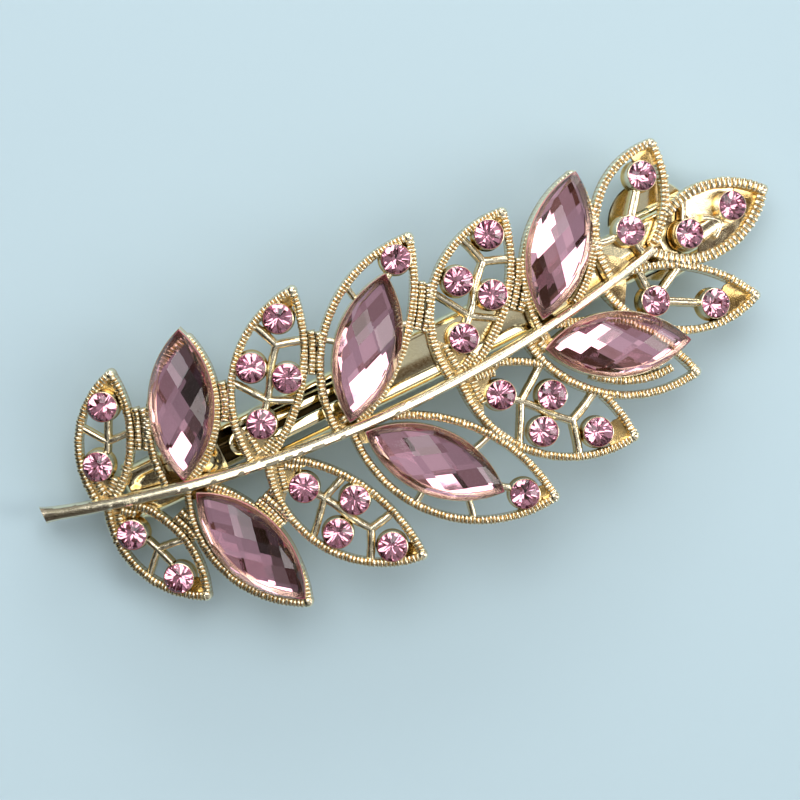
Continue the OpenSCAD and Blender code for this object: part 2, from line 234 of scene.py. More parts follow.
class Shape:
    """Vertices and faces of one piece, with each vertex's painted light: 0 is painted shade in the hollows, 1
    is lit on the crests.
    """

    def __init__(self):
        self.points = []
        self.tones = []
        self.faces = []

    def add(self, points, faces, tones=None):
        first = len(self.points)
        self.points.extend(map(tuple, points))
        # Unless given, the painted light follows height: lower points get more painted shade.
        if tones is None:
            tones = [min(1.0, max(0.0, (p[2] - LEAF_LOW) / (RIM_TOP - LEAF_LOW))) for p in points]
        self.tones.extend(tones)
        self.faces.extend([tuple(first + i for i in f) for f in faces])

    def loft(self, rings, tones=None):
        """A closed tube through rings of equally many points."""
        n = len(rings[0])
        faces = []
        for i in range(len(rings) - 1):
            for j in range(n):
                a, b = i * n + j, i * n + (j + 1) % n
                faces.append((a, b, b + n, a + n))
        faces.append(tuple(range(n - 1, -1, -1)))
        last = (len(rings) - 1) * n
        faces.append(tuple(range(last, last + n)))
        self.add([p for ring in rings for p in ring], faces, tones)

    def lathe(self, centre, profile, sides=32, turn=0.0):
        """Profile points (radius, height) turned round a vertical axis; the ends lie on the axis."""
        rings = []
        for r, z in profile[1:-1]:
            rings.append([(centre[0] + r * math.cos(turn + 2 * math.pi * j / sides),
                           centre[1] + r * math.sin(turn + 2 * math.pi * j / sides), z)
                          for j in range(sides)])
        points = [p for ring in rings for p in ring]
        faces = []
        for i in range(len(rings) - 1):
            for j in range(sides):
                a, b = i * sides + j, i * sides + (j + 1) % sides
                faces.append((a, b, b + sides, a + sides))
        low, high = len(points), len(points) + 1
        points += [(centre[0], centre[1], profile[0][1]), (centre[0], centre[1], profile[-1][1])]
        last = (len(rings) - 1) * sides
        for j in range(sides):
            faces.append((low, (j + 1) % sides, j))
            faces.append((high, last + j, last + (j + 1) % sides))
        self.add(points, faces)

    def mesh(self, name, place=None, sharp=35):
        points = np.array(self.points, float)
        if place is not None:
            m = np.array(place)
            points = points @ m[:3, :3].T + m[:3, 3]
        data = bpy.data.meshes.new(name)
        data.from_pydata((points * MM).tolist(), [], self.faces)
        tone = data.attributes.new("tone", "FLOAT", "POINT")
        tone.data.foreach_set("value", np.array(self.tones, np.float32))
        data.shade_smooth()
        data.set_sharp_from_angle(angle=math.radians(sharp))
        data.update()
        return data


def piece(name, data, material, body, replaced):
    """A finished object that stands for its CAD nodes."""
    o = bpy.data.objects.new(name, data)
    bpy.context.scene.collection.objects.link(o)
    if material is not None:
        data.materials.append(material)
    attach(o, body)
    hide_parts(*replaced)
    return o


# ---- swept bars ----

def lengths(path):
    return np.concatenate([[0], np.cumsum(np.linalg.norm(np.diff(path, axis=0), axis=1))])


def along(path, stations):
    """Points, and unit normals to the left, at distances along a path in plan."""
    s = lengths(path)
    points = np.c_[np.interp(stations, s, path[:, 0]), np.interp(stations, s, path[:, 1])]
    ahead = np.c_[np.interp(stations + 0.1, s, path[:, 0]), np.interp(stations + 0.1, s, path[:, 1])]
    back = np.c_[np.interp(stations - 0.1, s, path[:, 0]), np.interp(stations - 0.1, s, path[:, 1])]
    way = ahead - back
    way /= np.linalg.norm(way, axis=1)[:, None] + 1e-9
    return points, np.c_[-way[:, 1], way[:, 0]]


RIDGE = 0.43            # pitch of the ridges across a border
END_RIDGE = 0.52        # pitch on the two leaves beside the end leaf
BROAD_BORDER = (1.25, 0.62)     # width and pitch on the end leaf
# stations across one ridge, as shares of the pitch, with how far each is down in the groove
RIDGE_STEPS = ((0.0, 1.0), (0.08, 0.75), (0.17, 0.28), (0.31, 0.05), (0.5, 0.0), (0.69, 0.05), (0.83, 0.28),
               (0.92, 0.75))
GROOVE = 0.28           # depth of the grooves between ridges
WEB_W = 0.84            # width of a row of ridges in a web between leaves
WEB_PITCH = 0.44        # of the first row; each further row is a little coarser
RIDGE_TOP = ((-1, -0.55), (-0.97, -0.3), (-0.85, -0.1), (-0.55, -0.02), (0, 0), (0.55, -0.02),
             (0.85, -0.1), (0.97, -0.3), (1, -0.55))     # share of the half width, height
TOP_ANGLES = [math.radians(a) for a in (-85, -62, -38, -14, 14, 38, 62, 85)]


def ridged_bar(shape, path, width, rng, top=RIM_TOP, ridge=RIDGE):
    """A border: rounded ridges side by side across a path."""
    total = lengths(path)[-1]
    count = max(1, round(total / ridge))
    stations, depths = [], []
    pitch = total / count
    bounds = [0] + [(i + rng.uniform(-0.12, 0.12)) * pitch for i in range(1, count)] + [total]
    for i, (low, high) in enumerate(zip(bounds, bounds[1:])):
        for t, deep in RIDGE_STEPS:
            stations.append(low + t * (high - low))
            depths.append((deep, i))
    stations.append(total)
    depths.append((1.0, count - 1))
    lift = [rng.uniform(-0.08, 0.03) for _ in range(count)]
    wide = [rng.uniform(0.93, 1.05) for _ in range(count)]
    tilt = [rng.uniform(-0.09, 0.09) for _ in range(count)]
    points, normals = along(path, np.array(stations))
    rings, tones = [], []
    for p, n, (deep, i) in zip(points, normals, depths):
        half = width / 2 * wide[i] * (1 - 0.14 * deep)
        ring = []
        for share, drop in RIDGE_TOP:
            v = half * share
            z = top + (lift[i] + tilt[i] * share) * (1 - deep) - GROOVE * deep + drop * (1 - 0.5 * deep)
            ring.append((p[0] + n[0] * v, p[1] + n[1] * v, z))
        for share, z in ((1, LEAF_LOW + 0.12), (0.86, LEAF_LOW), (-0.86, LEAF_LOW), (-1, LEAF_LOW + 0.12)):
            v = width / 2 * share
            ring.append((p[0] + n[0] * v, p[1] + n[1] * v, z))
        rings.append(ring)
        # Painted light on the ridge crests, painted shade down in the grooves and on the bar's underside.
        tones += [1 - 0.65 * deep] * len(RIDGE_TOP) + [0.2] * 4
    shape.loft(rings, tones)


def runs(path, keep):
    """The stretches of a path where keep is true, longer than a ridge."""
    flags = [keep(p) for p in path]
    found, start = [], None
    for i, flag in enumerate(flags + [False]):
        if flag and start is None:
            start = i
        if not flag and start is not None:
            if i - start > 12:
                found.append(path[start:i])
            start = None
    return found


def smooth_path(points, step=0.05):
    """A smooth curve through a few points (Catmull-Rom)."""
    p = [np.array(q, float) for q in points]
    p = [2 * p[0] - p[1]] + p + [2 * p[-1] - p[-2]]
    out = []
    for a, b, c, d in zip(p, p[1:], p[2:], p[3:]):
        n = max(2, int(np.linalg.norm(c - b) / step))
        for i in range(n):
            t = i / n
            out.append(0.5 * (2 * b + (c - a) * t + (2 * a - 5 * b + 4 * c - d) * t * t
                              + (3 * b - a - 3 * c + d) * t ** 3))
    out.append(p[-2])
    return np.array(out)


def smooth_bar(shape, path, width, top, rng, low=LEAF_LOW + 0.1, wobble=0.05):
    """A cast vein: a rounded ridge with straight flanks, a little uneven."""
    total = lengths(path)[-1]
    stations = np.linspace(0, total, max(3, int(total / 0.22)))
    points, normals = along(path, stations)
    rings = []
    for p, n in zip(points, normals):
        half = width / 2 * (1 + rng.uniform(-wobble, wobble))
        z = top + rng.uniform(-wobble, wobble) * 0.5
        ring = [(p[0] + n[0] * half * math.sin(a), p[1] + n[1] * half * math.sin(a),
                 z - 0.3 * (1 - math.cos(a))) for a in TOP_ANGLES]
        for v in (half * 1.15, -half * 1.15):
            ring.append((p[0] + n[0] * v, p[1] + n[1] * v, low))
        rings.append(ring)
    shape.loft(rings)


# ---- materials ----

def nodes_of(material):
    material.use_nodes = True
    tree = material.node_tree
    return tree, tree.nodes["Principled BSDF"]


def gold(name, light, deep, rough, bump, grain):
    """Plated metal: painted shade in the hollows, uneven polish and a fine cast grain."""
    material = bpy.data.materials.new(name)
    tree, shader = nodes_of(material)
    new, link = tree.nodes.new, tree.links.new
    where = new("ShaderNodeTexCoord")
    scale = new("ShaderNodeMapping")
    scale.inputs["Scale"].default_value = (1 / MM, 1 / MM, 1 / MM)
    link(where.outputs["Object"], scale.inputs["Vector"])
    coarse = new("ShaderNodeTexNoise")
    coarse.inputs["Scale"].default_value = 0.5
    coarse.inputs["Detail"].default_value = 3
    fine = new("ShaderNodeTexNoise")
    fine.inputs["Scale"].default_value = grain
    fine.inputs["Detail"].default_value = 4
    for noise in (coarse, fine):
        link(scale.outputs["Vector"], noise.inputs["Vector"])
    # Painted shade: where the painted light is low, the deep colour is mixed in over the lit one.
    tone = new("ShaderNodeAttribute")
    tone.attribute_name = "tone"
    ramp = new("ShaderNodeMapRange")
    ramp.inputs["From Min"].default_value = 0.25
    ramp.inputs["From Max"].default_value = 0.8
    link(tone.outputs["Fac"], ramp.inputs["Value"])
    mix = new("ShaderNodeMix")
    mix.data_type = "RGBA"
    mix.inputs["A"].default_value = (*deep, 1)
    mix.inputs["B"].default_value = (*light, 1)
    link(ramp.outputs["Result"], mix.inputs["Factor"])
    stain = new("ShaderNodeMix")
    stain.data_type = "RGBA"
    stain.blend_type = "MULTIPLY"
    stain.inputs["B"].default_value = (0.94, 0.90, 0.76, 1)
    link(coarse.outputs["Fac"], stain.inputs["Factor"])
    link(mix.outputs["Result"], stain.inputs["A"])
    link(stain.outputs["Result"], shader.inputs["Base Color"])
    polish = new("ShaderNodeMapRange")
    polish.inputs["From Min"].default_value = 0.3
    polish.inputs["From Max"].default_value = 0.7
    polish.inputs["To Min"].default_value = rough * 0.7
    polish.inputs["To Max"].default_value = rough * 1.4
    link(fine.outputs["Fac"], polish.inputs["Value"])
    link(polish.outputs["Result"], shader.inputs["Roughness"])
    bumps = new("ShaderNodeBump")
    bumps.inputs["Strength"].default_value = bump
    bumps.inputs["Distance"].default_value = 0.05 * MM
    link(fine.outputs["Fac"], bumps.inputs["Height"])
    link(bumps.outputs["Normal"], shader.inputs["Normal"])
    shader.inputs["Metallic"].default_value = 1
    return material


def stone_glass(name, colour):
    material = bpy.data.materials.new(name)
    tree, shader = nodes_of(material)
    new, link = tree.nodes.new, tree.links.new
    where = new("ShaderNodeTexCoord")
    scuffs = new("ShaderNodeTexNoise")
    scuffs.inputs["Scale"].default_value = 0.8 / MM
    scuffs.inputs["Detail"].default_value = 5
    link(where.outputs["Object"], scuffs.inputs["Vector"])
    rough = new("ShaderNodeMapRange")
    rough.inputs["From Min"].default_value = 0.45
    rough.inputs["From Max"].default_value = 0.75
    rough.inputs["To Min"].default_value = 0.0
    rough.inputs["To Max"].default_value = 0.06
    link(scuffs.outputs["Fac"], rough.inputs["Value"])
    link(rough.outputs["Result"], shader.inputs["Roughness"])
    shader.inputs["Base Color"].default_value = (*colour, 1)
    shader.inputs["IOR"].default_value = 1.52
    shader.inputs["Transmission Weight"].default_value = 1
    return material


def stone_foil(name, colour, metallic, rough):
    """The mirror foil behind a stone's lower facets."""
    material = bpy.data.materials.new(name)
    tree, shader = nodes_of(material)
    new, link = tree.nodes.new, tree.links.new
    where = new("ShaderNodeTexCoord")
    ripple = new("ShaderNodeTexNoise")
    ripple.inputs["Scale"].default_value = 0.25 / MM
    link(where.outputs["Object"], ripple.inputs["Vector"])
    bumps = new("ShaderNodeBump")
    bumps.inputs["Strength"].default_value = 0.12
    bumps.inputs["Distance"].default_value = 0.1 * MM
    link(ripple.outputs["Fac"], bumps.inputs["Height"])
    link(bumps.outputs["Normal"], shader.inputs["Normal"])
    shader.inputs["Base Color"].default_value = (*colour, 1)
    shader.inputs["Metallic"].default_value = metallic
    shader.inputs["Roughness"].default_value = rough
    return material


# The second colour of each gold is painted shade: orange-brown in the casting's hollows, near black on the
# insides and undersides of the pressed and polished parts.
CAST = gold("cast_gold", (0.98, 0.91, 0.72), (0.76, 0.52, 0.19), 0.17, 0.35, 9)
PRESSED = gold("pressed_gold", (0.96, 0.88, 0.62), (0.05, 0.035, 0.015), 0.13, 0.12, 4)
POLISHED = gold("polished_gold", (0.96, 0.88, 0.62), (0.05, 0.035, 0.015), 0.06, 0.04, 3)
OVAL_GLASS = stone_glass("mauve_glass", (0.92, 0.65, 0.75))
ROUND_GLASS = stone_glass("pink_glass", (0.95, 0.65, 0.73))
FOIL = stone_foil("pink_foil", (0.93, 0.76, 0.82), 1, 0.04)
RIM_FOIL = stone_foil("rim_foil", (0.95, 0.32, 0.43), 0.2, 0.3)
# Painted dark reflection: a dark foil behind alternate back facets of the round stones, standing in for the
# dark surroundings those facets reflect.
PAINTED_DARK_SPOKES = stone_foil("painted_dark_spokes", (0.20, 0.06, 0.11), 0.8, 0.1)


# ---- the casting ----

def tip_knob(shape, k):
    """The solid rounded end where a leaf's two borders meet."""
    end = LEAVES[k][3]
    r = 0.62
    profile = [(0, LEAF_LOW), (r * 0.9, LEAF_LOW), (r, LEAF_LOW + 0.15), (r, 0.1), (0.85 * r, 0.38),
               (0.5 * r, 0.56), (0, RIM_TOP)]
    shape.lathe((end - 1.0, 0), profile, sides=20)


def cup(shape, centre, rng):
    """The seat of a round stone: a thin lip, a sloping wall, and a fillet where it meets the leaf."""
    r = ROUND_R
    spread = rng.uniform(0.02, 0.12)
    profile = [(0, LEAF_LOW), (r + 0.2 + spread, LEAF_LOW), (r + 0.2 + spread, -0.6),
               (r + 0.14, -0.35), (r + 0.12, 0.3), (r + 0.15, 0.85), (r + 0.12, 0.97), (r + 0.06, 1.0),
               (r + 0.01, 0.94), (r + 0.005, 0.6), (0.5 * r, -0.5), (0, -0.7)]
    shape.lathe(centre, profile, sides=40)


def pool(shape, k, low_x, high_x, top, rng, low_cut=0.0, high_cut=0.0, tone=None):
    """A floor of metal between a leaf's borders, drawn back along the borders at either end. Its painted
    light is given with a little random spread, or else follows its height.
    """
    inset = 0.6
    start, end = blade_ends(k, inset)
    rings = []
    for share in np.linspace(0, 1, max(3, int((high_x - low_x) / 0.35))):
        upper = []
        for t in np.linspace(-1, 1, 9):
            low, high = low_x + low_cut * t * t, high_x - high_cut * t * t
            x = low + (high - low) * share
            rise = 0.02
            if start < x < end:
                rise = max(rise, half_lens(x - start, end - start, LEAVES[k][4 if t > 0 else 5] - inset))
            upper.append((x, t * rise, top - 0.22 * (1 - t * t) + rng.uniform(-0.05, 0.05)))
        rings.append(upper + [(p[0], p[1], LEAF_LOW + 0.05) for p in upper[::-1]])
    shape.loft(rings, tone and [tone + rng.uniform(-0.15, 0.15) for ring in rings for _ in ring])


def oval_point(k, u, v):
    """A point of the oval stone's own drawing, u along and v across, in the leaf's drawing."""
    side = LEAVES[k][7]
    along_x, offset, turn = LEAVES[k][8]
    a = math.radians(side * turn)
    return (along_x + u * math.cos(a) - v * math.sin(a),
            side * offset + u * math.sin(a) + v * math.cos(a))


def oval_outline(grow, count=60):
    """Closed outline of the pointed oval stone, in its own drawing, grown by a margin."""
    length, rise = OVAL_L + 2 * grow, OVAL_W / 2 + grow
    xs = [-length / 2 * math.cos(math.pi * i / (count / 2)) for i in range(int(count / 2) + 1)]
    top = [(x, half_lens(x + length / 2, length, rise)) for x in xs]
    return top + [(x, -y) for x, y in top[-2:0:-1]]


def seat(shape, k):
    """The pointed oval ring that an oval stone is glued on, with a thin lip round the stone."""
    profile = [(0.16, LEAF_LOW + 0.1), (0.16, 0.7), (0.1, 0.86), (0.03, 0.86), (0.0, 0.6),
               (-1.15, 0.5), (-1.3, 0.3), (-1.3, LEAF_LOW + 0.1)]
    outlines = [oval_outline(grow) for grow, _ in profile]
    count = len(outlines[0])
    points, faces = [], []
    for outline, (_, z) in zip(outlines, profile):
        points += [(*oval_point(k, u, v), z) for u, v in outline]
    rows = len(profile)
    for i in range(rows):
        for j in range(count):
            a, b = i * count + j, i * count + (j + 1) % count
            c, d = ((i + 1) % rows) * count + (j + 1) % count, ((i + 1) % rows) * count + j
            faces.append((a, d, c, b))
    shape.add(points, faces)


def leaf(k):
    name, _, _, reach, _, _, style, side, oval, rounds = LEAVES[k]
    rng = random.Random("leaf " + name)
    shape = Shape()
    border, ridge = {0: BROAD_BORDER, 1: (RIM_W, END_RIDGE)}.get(abs(k - END), (RIM_W, RIDGE))
    for hand in (1, -1):
        for run in runs(blade_arc(k, hand, border / 2), lambda p: free(k, p)):
            ridged_bar(shape, run, border, rng, RIM_TOP, ridge)
    tip_knob(shape, k)
    for web_leaf, middle, span in WEBS:
        if web_leaf != k:
            continue
        hand = -1 if k < END else 1
        for row in range(3):
            near = lambda p: abs(p[0] - middle) < span / 2 and free(k, p, 0.3)
            for run in runs(blade_arc(k, hand, -0.42 - 0.86 * row), near):
                top = RIM_TOP - 0.05 - 0.1 * rng.random()
                ridged_bar(shape, run, WEB_W, rng, top, WEB_PITCH + 0.04 * row)
    for width, *line in VEINS[style]:
        path = smooth_path([(x, side * y) for x, y in line])
        clear = lambda p: inside_blade(k, p, 0.35) and all(
            math.hypot(p[0] - x, p[1] - side * y) > ROUND_R + 0.1 for x, y in rounds)
        for run in runs(path, clear):
            smooth_bar(shape, run, width, 0.3, rng)
    for x, y in rounds:
        cup(shape, (x, side * y), rng)
    if rounds:
        pool(shape, k, rounds[-1][0] + 1.2, reach - 1.2, -0.3, rng, 1.1)
    near_end = abs(k - END) < 2
    if near_end:
        pool(shape, k, 0.2, rounds[0][0] - 3, -0.1, rng, 0, 0.2)
    elif oval:
        pool(shape, k, 0.2, oval[0] - OVAL_L / 2 + 1.1, -0.1, rng, 0, 1.6)
    else:
        pool(shape, k, 0.2, rounds[0][0] - ROUND_R - 0.1, -0.1, rng, 0, -0.9)
    if k == END:
        # The end leaf's floor gets a given painted light: mostly lit, with some painted shade.
        pool(shape, k, 6, reach - 1.5, -0.45, rng, -1.5, tone=0.7)
    if not near_end:
        rows_end = oval[0] - OVAL_L / 2 + 0.3 if oval else rounds[0][0] - 1.2
        for hand in (1, -1):
            for row in (1, 2):
                near = lambda p: p[0] < rows_end and p[1] * hand > 0.15 and free(k, p)
                for run in runs(blade_arc(k, hand, RIM_W * (row + 0.45)), near):
                    ridged_bar(shape, run, RIM_W, rng, RIM_TOP - 0.15 * row)
    if style == "plate":
        for inset in (2.0, 2.9):
            for run in runs(blade_arc(k, side, inset), lambda p: 7.5 < p[0] < 16.5):
                ridged_bar(shape, run, RIM_W, rng, 0.3, 0.45)
    if oval:
        seat(shape, k)
    piece("cast_leaf_" + name, shape.mesh("cast_leaf_" + name, PLACES[k]), CAST, "root",
          ["leaf_" + name])


def stem():
    """A cast stalk with a roof-shaped section and a flared, cut end."""
    rng = random.Random("stem")
    shape = Shape()
    rings = []
    step = 0.3
    count = int((STEM_ENDS[1] - STEM_ENDS[0]) / step)
    for i in range(count + 1):
        x = STEM_ENDS[0] + (STEM_ENDS[1] - STEM_ENDS[0]) * i / count
        low = STEM_LOW + STEM_R - math.sqrt((STEM_R + STEM_W / 2) ** 2 - (x - STEM_MID) ** 2)
        high = STEM_LOW + STEM_R - math.sqrt(
            (STEM_R - STEM_W / 2) ** 2 - (x - STEM_MID - STEM_TAPER) ** 2)
        middle, half = (low + high) / 2, (high - low) / 2
        flare = 1 + 0.25 * math.exp(-(x - STEM_ENDS[0]) / 0.8)
        section = [(-0.95, LEAF_LOW), (-1, -0.3), (-1, 0.6), (-0.93, 1.02), (-0.74, 1.3), (-0.45, STEM_TOP),
                   (0.1, 1.33), (0.6, 1.2), (0.92, 0.92), (1, 0.5), (1, -0.3), (0.95, LEAF_LOW)]
        ring = []
        for v, off in section:
            shake = rng.uniform(-0.014, 0.014)
            off = off + (shake if off > 0 else 0)
            y = middle + (half * flare + shake * 0.6) * v
            ring.append((x, y, bow_height(x, min(off, STEM_TOP))))
        rings.append(ring)
    # Painted light on the stalk's top, painted shade on its flanks and underside.
    shape.loft(rings, tones=[1.0 if off > 0.4 else 0.2 for _ in rings for _, off in section])
    piece("cast_stem", shape.mesh("cast_stem"), CAST, "root", ["stem"])


# ---- the stones ----

def cut_stone(name, size, low, high, planes, materials, material_of):
    """A stone cut from a block, one plane a facet."""
    bm = bmesh.new()
    bmesh.ops.create_cube(bm, size=1)
    for v in bm.verts:
        v.co = Vector((v.co.x * size[0], v.co.y * size[1], low + (v.co.z + 0.5) * (high - low)))
    for point, normal in planes:
        bmesh.ops.bisect_plane(bm, geom=bm.verts[:] + bm.edges[:] + bm.faces[:], dist=1e-5,
                               plane_co=point, plane_no=normal, clear_outer=True)
        bmesh.ops.holes_fill(bm, edges=[e for e in bm.edges if e.is_boundary])
    bmesh.ops.remove_doubles(bm, verts=bm.verts[:], dist=1e-4)
    bmesh.ops.recalc_face_normals(bm, faces=bm.faces[:])
    for f in bm.faces:
        f.material_index = 0 if f.normal.z > 0.1 else material_of(f)
    data = bpy.data.meshes.new(name)
    bm.to_mesh(data)
    bm.free()
    for material in materials:
        data.materials.append(material)
    return data


def tilted(direction, elevation):
    """A unit vector over a direction in plan, raised by an angle in degrees."""
    e = math.radians(elevation)
    return Vector((direction[0] * math.cos(e), direction[1] * math.cos(e), math.sin(e)))


def direction(i, count):
    a = 2 * math.pi * i / count
    return math.cos(a), math.sin(a)


def oval_stone_mesh():
    """Pointed oval: rhombic crown facets, a band of steep rim facets, and a shallow foiled back."""
    dx, dy = 2.06, 1.2
    fall_x, fall_y = 0.034, 0.1                     # of the crown's dome, along and across the stone
    half_l, half_w = OVAL_L / 2, OVAL_W / 2
    planes = []
    for (x0, y0), (x1, y1) in edges(oval_outline(0.0, 44)):
        planes.append((Vector((x0, y0, 0)), Vector((y0 - y1, x1 - x0, 0)).normalized()))
    for i in range(-4, 5):
        for j in range(-3, 4):
            if (i + j) % 2:
                continue
            x, y = i * dx, j * dy
            top = OVAL_TOP - fall_x * x * x - fall_y * y * y
            planes.append((Vector((x, y, top)), Vector((2 * fall_x * x, 2 * fall_y * y, 1)).normalized()))
    for i, ((x0, y0), (x1, y1)) in enumerate(edges(oval_outline(0.0, 30))):
        out = Vector((y0 - y1, x1 - x0, 0)).normalized()
        middle = Vector(((x0 + x1) / 2, (y0 + y1) / 2, OVAL_SEAT + 0.6))
        planes.append((middle, tilted(out, 20 + 9 * (i % 2))))
    for (x0, y0), (x1, y1) in edges(oval_outline(0.0, 20)):
        out = Vector((y0 - y1, x1 - x0, 0)).normalized()
        planes.append((Vector(((x0 + x1) / 2, (y0 + y1) / 2, OVAL_SEAT + 0.15)), tilted(out, -45)))
    return cut_stone("oval_stone", (2.2 * half_l, 2.2 * half_w), OVAL_SEAT - 0.3, OVAL_TOP, planes,
                     (OVAL_GLASS, FOIL, RIM_FOIL), lambda f: 1 if f.normal.z < -0.9 else 2)


def edges(outline):
    return zip(outline, outline[1:] + outline[:1])


def round_stone_mesh(variant):
    """Round brilliant: a small table, eight crown mains, sixteen halves, and a foiled cone behind."""
    rng = random.Random("round stone " + str(variant))
    r = ROUND_R
    girdle = 1.0
    planes = []
    for i in range(16):
        way = direction(i + 0.5, 16)
        planes.append((Vector((r * way[0], r * way[1], 0)), tilted(way, 0)))
        planes.append((Vector((0.985 * r * way[0], 0.985 * r * way[1], girdle + 0.08)), tilted(way, 52)))
    for i in range(8):
        way = direction(i, 8)
        planes.append((Vector((r * way[0], r * way[1], girdle + 0.14)), tilted(way, 65)))
    for i in range(24):
        way = direction(i + rng.uniform(-0.2, 0.2), 24)
        steep = 44 + 3 * (i % 2) + rng.uniform(-1.5, 1.5)
        planes.append((Vector((r * way[0], r * way[1], girdle - 0.05)), tilted(way, steep - 90)))
    # Most odd spokes get the painted dark reflection.
    painted_dark = [rng.random() < 0.88 for _ in range(12)]

    def material_of(face):
        spoke = int(math.atan2(face.normal.y, face.normal.x) / (2 * math.pi) * 24 + 24.5) % 24
        if face.normal.z > -0.3:
            return 2
        return 3 if spoke % 2 and painted_dark[spoke // 2] else 1

    return cut_stone("round_stone", (2.2 * r, 2.2 * r), -0.6, 1.6, planes,
                     (ROUND_GLASS, FOIL, RIM_FOIL, PAINTED_DARK_SPOKES), material_of)


def stones():
    oval_mesh = oval_stone_mesh()
    round_meshes = [round_stone_mesh(variant) for variant in range(4)]
    rng = random.Random("stones")
    for k, row in enumerate(LEAVES):
        name, side, oval, rounds = row[0], row[7], row[8], row[9]
        if oval:
            set_stone("oval_stone", name, oval_mesh, k, oval_point(k, 0, 0), side * oval[2])
        for i, (x, y) in enumerate(rounds):
            set_stone("round_stone", name + "_" + str(i + 1), rng.choice(round_meshes), k, (x, side * y),
                      rng.uniform(0, 360))


def set_stone(kind, label, mesh, k, centre, turn):
    """A copy of a cut stone, set on leaf k."""
    place = PLACES[k] @ Matrix.Translation((*centre, 0)) @ Matrix.Rotation(math.radians(turn), 4, "Z")
    data = mesh.copy()
    data.transform(place)
    data.transform(Matrix.Scale(MM, 4))
    piece("cut_" + kind + "_" + label, data, None, "root", [kind + "_" + label])


# ---- the clip ----

HINGE = (-34.2, 2.3)    # along X and Z, as are all the XZ outlines below
WINDOW = (-24.5, -10)
FLANGE_END = 23
FLANGE_LOW = -3.0
ARM_HALF_W = 2.2
ARM_TIP = 34
STRIP_T = 0.35
STRIP_W = 3.4
STRIP_HALF = 23.4
STRIP_DIP = 0.9
STRIP_LOW = bow_height(STRIP_HALF, PLATE_TOP - SHEET) - 0.1 - STRIP_T - STRIP_DIP
STRIP_R = (STRIP_HALF ** 2 + STRIP_DIP ** 2) / (2 * STRIP_DIP)
SLOT = (-22.1, -6.6)
SLOT_HALF_W = 0.4
STRIP_ROLL = 0.2        # slope across the strip's bands beside the slot
PANEL_X = (-9.2, 9.6)   # centres of the round ends of the plate's raised panel
PANEL_Y = -2.9
PANEL_R = 1.45
PANEL_RISE = 0.15
PANEL_SLOPE = 0.17
DISH_X = (-33, -26.5)   # the same for the dish at the hinge end
DISH_R = 1.5
DISH_DEPTH = 0.25
LATCH_X = (29, 33)
LATCH_PIN = (2.95, 4.4)  # across and up
SADDLE_X = (27.4, 34.4)
SADDLE_TOP = bow_height(SADDLE_X[1], PLATE_TOP - SHEET) - 0.02
LOBE_R = 4.8
LOBE_X = 28.8


def rounded(outline, radius, steps=4):
    """A closed outline with its corners rounded off."""
    out = []
    n = len(outline)
    for i in range(n):
        p, c, q = (np.array(outline[(i + j) % n], float) for j in (-1, 0, 1))
        to_p, to_q = np.linalg.norm(p - c), np.linalg.norm(q - c)
        a = c + (p - c) * min(radius / to_p, 0.45)
        b = c + (q - c) * min(radius / to_q, 0.45)
        for k in range(steps + 1):
            t = k / steps
            out.append(tuple((1 - t) ** 2 * a + 2 * t * (1 - t) * c + t * t * b))
    return out


def arc(centre, radius, start, end, steps=16):
    return [(centre[0] + radius * math.cos(math.radians(start + (end - start) * i / steps)),
             centre[1] + radius * math.sin(math.radians(start + (end - start) * i / steps)))
            for i in range(steps + 1)]


def prism(shape, outline, low, high, axis, bevel=0.08):
    """An outline pulled along an axis, with its end edges broken."""
    points = np.array(outline, float)
    area = sum(a[0] * b[1] - b[0] * a[1] for a, b in zip(points, np.roll(points, -1, 0)))
    if area < 0:
        points = points[::-1]
    ahead, back = np.roll(points, -1, 0) - points, points - np.roll(points, 1, 0)
    way = ahead / (np.linalg.norm(ahead, axis=1)[:, None] + 1e-9)
    way += back / (np.linalg.norm(back, axis=1)[:, None] + 1e-9)
    way /= np.linalg.norm(way, axis=1)[:, None] + 1e-9
    small = points + np.c_[-way[:, 1], way[:, 0]] * bevel
    rings = []
    for ring, h in ((small, low), (points, low + bevel), (points, high - bevel), (small, high)):
        if axis == "x":
            rings.append([(h, p[0], p[1]) for p in ring])
        elif axis == "y":
            rings.append([(p[0], h, p[1]) for p in ring])
        else:
            rings.append([(p[0], p[1], h) for p in ring])
    if axis != "y":
        rings = rings[::-1]
    shape.loft(rings, [1.0] * 4 * len(points))


def smooth_step(low, high, x):
    t = min(1.0, max(0.0, (x - low) / (high - low)))
    return t * t * (3 - 2 * t)


def flange_edge(x):
    """Height of a folded edge's foot, which runs up to the plate near the latch."""
    rise = PLATE_TOP - SHEET - 0.05 - FLANGE_LOW
    return FLANGE_LOW + rise * smooth_step(FLANGE_END - 0.8, FLANGE_END + 0.2, x)


def panel_reach(x, y):
    """How far a point of the plate lies outside its raised panel, below 0 inside it."""
    return math.hypot(x - min(max(x, PANEL_X[0]), PANEL_X[1]), y - PANEL_Y) - PANEL_R


def plate_tone(x, y):
    """Painted shade: the plate is painted darker along the outside of its panel."""
    reach = panel_reach(x, y)
    return 1.0 if reach < -0.1 else 0.5 + 0.5 * smooth_step(0.1, 1.5, reach)


def plate_top(x, y):
    """The plate's top: a raised, sloped panel along its near side, and a dish at the hinge end."""
    reach = panel_reach(x, y)
    dish = math.hypot(x - min(max(x, DISH_X[0]), DISH_X[1]), y) - DISH_R
    slope = -PANEL_SLOPE * (y + 2.25) if reach < 0 else -0.14 * smooth_step(0.2, -1.4, y)
    return (PLATE_TOP + slope - PANEL_RISE * smooth_step(-0.12, 0.12, reach)
            - DISH_DEPTH * smooth_step(0.1, -0.2, dish))


def plate_edge(x, side):
    """Section of one folded edge, from the flange's inner foot round to the plate's top."""
    low = flange_edge(x)
    knee = max(low + 0.1, -1.75)
    return [(side * y, z) for y, z in ((2.35, low), (2.45, low), (2.82, low), (2.9, low + 0.06),
            (2.9, knee), (2.83, max(knee, -1.45)), (2.66, -1.2), (2.45, -1.06))]


